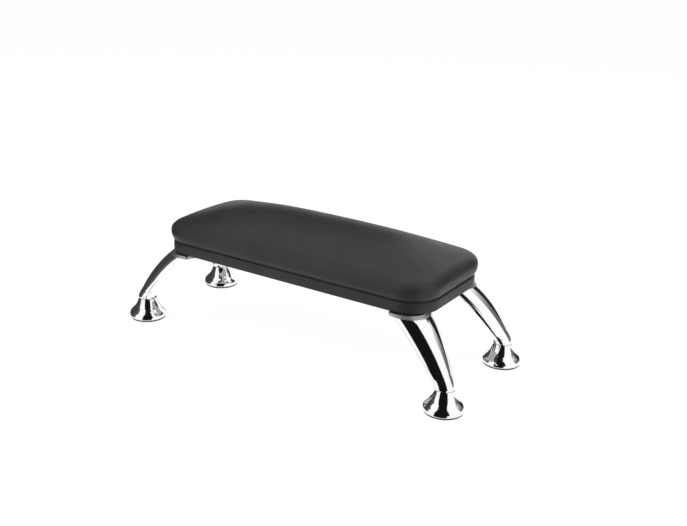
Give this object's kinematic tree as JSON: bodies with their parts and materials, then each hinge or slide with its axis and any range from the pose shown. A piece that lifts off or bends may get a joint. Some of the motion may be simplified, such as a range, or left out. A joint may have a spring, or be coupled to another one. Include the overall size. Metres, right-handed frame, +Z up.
{
  "type": "manicure hand rest",
  "caption": "Low padded arm rest for manicures: a long round-cornered leatherette cushion with a crowned top over a board, on splayed chrome horn legs with bell feet.",
  "frame": {"origin": "on the surface that the rest stands on, under the middle of the pad", "axes": "+X along the pad's length, -Y towards the front long side, +Z up"},
  "size_m": [0.4308, 0.1742, 0.1402],
  "materials": {
    "leatherette": "dark charcoal leatherette, satin, very fine grain",
    "foam": "open-cell upholstery foam",
    "plywood": "birch plywood, sawn edge",
    "lining": "light grey non-woven lining cloth",
    "chrome": "polished chrome plate on a smooth casting",
    "zinc_plate": "zinc-plated steel",
    "rubber": "soft dark grey rubber, matt"
  },
  "bodies": {
    "root": {"top_cover": "leatherette", "side_band": "leatherette", "foam_core": "foam", "base_board": "plywood", "bottom_lining": "lining", "leg_front_left": "chrome", "bell_foot_front_left": "chrome", "foot_glide_front_left": "rubber", "foot_stud_front_left": "zinc_plate", "leg_stud_front_left": "zinc_plate", "tee_nut_front_left": "zinc_plate", "leg_rear_left": "chrome", "bell_foot_rear_left": "chrome", "foot_glide_rear_left": "rubber", "foot_stud_rear_left": "zinc_plate", "leg_stud_rear_left": "zinc_plate", "tee_nut_rear_left": "zinc_plate", "leg_front_right": "chrome", "bell_foot_front_right": "chrome", "foot_glide_front_right": "rubber", "foot_stud_front_right": "zinc_plate", "leg_stud_front_right": "zinc_plate", "tee_nut_front_right": "zinc_plate", "leg_rear_right": "chrome", "bell_foot_rear_right": "chrome", "foot_glide_rear_right": "rubber", "foot_stud_rear_right": "zinc_plate", "leg_stud_rear_right": "zinc_plate", "tee_nut_rear_right": "zinc_plate"}
  },
  "joints": []
}
